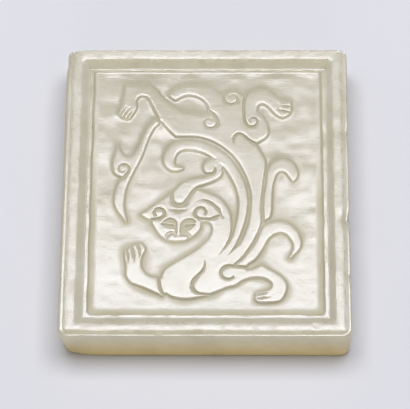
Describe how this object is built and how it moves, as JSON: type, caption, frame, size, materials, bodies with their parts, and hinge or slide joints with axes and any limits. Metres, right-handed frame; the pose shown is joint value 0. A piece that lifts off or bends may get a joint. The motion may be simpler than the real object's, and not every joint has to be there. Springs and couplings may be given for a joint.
{
  "type": "jade pendant",
  "caption": "Thick rectangular carved stone plaque: moulded raised frame round a sunken field with a curling dragon in low relief; flat plain back.",
  "frame": {"origin": "centre of the flat back's bounding rectangle, on the surface that the plaque lies on", "axes": "+X across the plaque, +Y up the plaque towards its top edge, +Z out of the carved face"},
  "size_m": [0.056, 0.063, 0.01],
  "materials": {
    "jade": "polished pale grey-white jade with a waxy sheen, faintly mottled, warmer and more olive in the thick walls"
  },
  "bodies": {
    "root": {"jade_plaque": "jade"}
  },
  "joints": []
}
